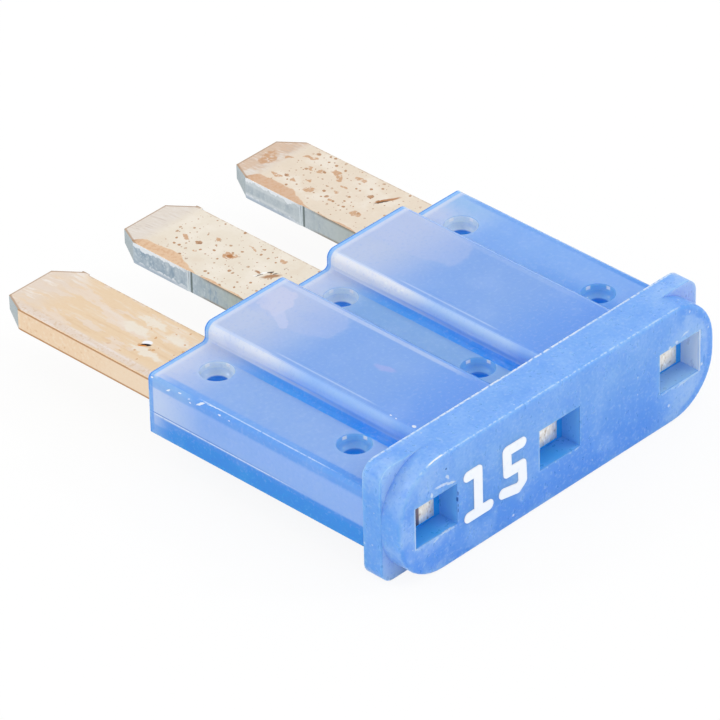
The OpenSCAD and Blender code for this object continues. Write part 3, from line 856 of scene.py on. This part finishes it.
def on_dimple(edge):
    """True for the rims of the round dimples on the web's faces."""
    for vert in edge.verts:
        x, y, h = abs(vert.co.x) / MM, vert.co.y / MM, abs(vert.co.z / MM - MID_Z)
        column = min(abs(x), abs(x - DIMPLE_PITCH))
        row = min(abs(y - DIMPLE_Y), abs(y - DIMPLE_Y + DIMPLE_ROW_PITCH))
        if abs(math.hypot(column, row) - DIMPLE_R) > 0.02 or abs(h - WEB_TOP) > 0.01:
            return False
    return True


def housing_moulding(material):
    """The moulded housing. Its rims are rounded first, and then the edges that are short of the open end."""
    mesh = merged_copy("housing")
    round_over(mesh, [e for e in sharp_edges(mesh, 30) if on_dimple(e)], DIMPLE_ROUNDING * MM, 3)
    round_over(mesh, [e for e in sharp_edges(mesh, 30) if on_rim(e)], OPEN_END_ROUNDING * MM, 4)
    inner = [e for e in sharp_edges(mesh, 40) if e.verts[0].co.y / MM < 1.5]
    round_over(mesh, inner, MOULDED_ROUNDING * MM, 2)
    return piece("housing_moulding", mesh, material, "blue_plastic", "housing")


def element_stamping(material):
    """The stamped fuse element, its edges broken as tumbling leaves them."""
    mesh = merged_copy("fuse_element")
    round_over(mesh, sharp_edges(mesh, 20), STAMPED_ROUNDING * MM, 2)
    return piece("element_stamping", mesh, material, "plated_copper", "fuse_element")


def stroke(start, end):
    """One straight ink stroke with round ends, half sunk in the pad's front face."""
    mesh = bmesh.new()
    for x, height in (start, end):
        for depth in (-INK_DEPTH, INK_DEPTH):
            seat = Matrix.Translation(Vector((x, PAD_FRONT_Y + depth, MID_Z + height)) * MM)
            bmesh.ops.create_circle(mesh, cap_ends=False, segments=32, radius=INK_STROKE / 2 * MM,
                                    matrix=seat @ Matrix.Rotation(math.radians(90), 4, "X"))
    hull = bmesh.ops.convex_hull(mesh, input=mesh.verts)
    inner = {v for v in hull["geom_interior"] + hull["geom_unused"] if isinstance(v, bmesh.types.BMVert)}
    bmesh.ops.delete(mesh, geom=list(inner), context="VERTS")
    bmesh.ops.recalc_face_normals(mesh, faces=mesh.faces)
    data = bpy.data.meshes.new("stroke")
    mesh.to_mesh(data)
    mesh.free()
    made = bpy.data.objects.new("stroke", data)
    bpy.context.scene.collection.objects.link(made)
    return made


def numeral(name, lines, material):
    """A printed numeral, the union of its strokes."""
    strokes = []
    for line in lines:
        strokes += [stroke(a, b) for a, b in zip(line, line[1:])]
    for other in strokes[1:]:
        join = strokes[0].modifiers.new("join", "BOOLEAN")
        join.operation = "UNION"
        join.solver = "EXACT"
        join.object = other
    graph = bpy.context.evaluated_depsgraph_get()
    mesh = bmesh.new()
    mesh.from_mesh(bpy.data.meshes.new_from_object(strokes[0].evaluated_get(graph)))
    for used in strokes:
        bpy.data.objects.remove(used)
    bmesh.ops.remove_doubles(mesh, verts=mesh.verts, dist=0.0005 * MM)
    bmesh.ops.dissolve_limit(mesh, angle_limit=math.radians(0.4), verts=mesh.verts, edges=mesh.edges)
    return piece(name, mesh, material, "blue_plastic")


def white_rays(tree):
    """1 for rays from the camera, and for reflections and see-through views of the surroundings."""
    rays = add(tree, "LightPath", out=None)
    bent = add(tree, "Math", {0: rays.outputs["Is Glossy Ray"], 1: rays.outputs["Is Transmission Ray"]},
               operation="MAXIMUM")
    return add(tree, "Math", {0: rays.outputs["Is Camera Ray"], 1: bent}, operation="MAXIMUM")


def surroundings():
    """A white world that lights the fuse softly from all round."""
    world = bpy.data.worlds.new("white_studio")
    bpy.context.scene.world = world
    world.use_nodes = True
    tree = world.node_tree
    strength = add(tree, "Mix", {0: white_rays(tree), 2: 0.99, 3: 1.0})
    tree.links.new(strength, tree.nodes["Background"].inputs["Strength"])
    tree.nodes["Background"].inputs["Color"].default_value = (1.0, 1.0, 1.0, 1.0)


def table():
    """A white table that keeps a faint shadow."""
    mesh = bmesh.new()
    bmesh.ops.create_grid(mesh, x_segments=1, y_segments=1, size=1.5)
    data = bpy.data.meshes.new("table")
    mesh.to_mesh(data)
    mesh.free()
    made = bpy.data.objects.new("table", data)
    bpy.context.scene.collection.objects.link(made)
    made.location.z = -0.02 * MM
    material = bpy.data.materials.new("white_table_top")
    material.use_nodes = True
    tree = material.node_tree
    tree.nodes.remove(tree.nodes["Principled BSDF"])
    matt = add(tree, "BsdfDiffuse", {"Color": "#F6F6F6"})
    glow = add(tree, "Emission", {"Color": "#FFFFFF", "Strength": 1.0})
    share = add(tree, "Math", {0: white_rays(tree), 1: 0.9}, operation="MULTIPLY")
    both = add(tree, "MixShader", {0: share, 1: matt, 2: glow})
    tree.links.new(both, tree.nodes["Material Output"].inputs["Surface"])
    data.materials.append(material)


def lamp(name, azimuth, height, strength, spread):
    """A distant lamp, its direction and its apparent size in degrees."""
    data = bpy.data.lights.new(name, "SUN")
    data.energy = strength
    data.angle = math.radians(spread)
    made = bpy.data.objects.new(name, data)
    bpy.context.scene.collection.objects.link(made)
    a, e = math.radians(azimuth), math.radians(height)
    towards = Vector((math.sin(a) * math.cos(e), math.cos(a) * math.cos(e), math.sin(e)))
    made.rotation_euler = towards.to_track_quat("Z", "Y").to_euler()


def camera():
    """The photograph's viewpoint: far away with a long lens, 34 degrees above the table."""
    data = bpy.data.cameras.new("camera")
    data.sensor_width = 36
    data.lens = CAMERA_LENS
    data.clip_start = 0.01
    made = bpy.data.objects.new("camera", data)
    bpy.context.scene.collection.objects.link(made)
    azimuth, fall, roll = (math.radians(a) for a in CAMERA_ANGLES)
    turn = (Matrix.Rotation(-azimuth, 4, "Z") @ Matrix.Rotation(math.pi / 2 - fall, 4, "X")
            @ Matrix.Rotation(roll, 4, "Z"))
    made.matrix_world = Matrix.Translation(Vector(CAMERA_PLACE) * MM) @ turn
    bpy.context.scene.camera = made


camera()
surroundings()
table()
lamp("left_lamp", -44, 37, 0.35, 10)
lamp("right_lamp", 134, 37, 0.35, 10)

nylon = translucent_nylon()
ink = white_ink()
housing_moulding(nylon)
element_stamping(plated_copper())
numeral("numeral_one", NUMERAL_ONE, ink)
numeral("numeral_five", NUMERAL_FIVE, ink)

scene = bpy.context.scene
scene.view_settings.view_transform = "Standard"
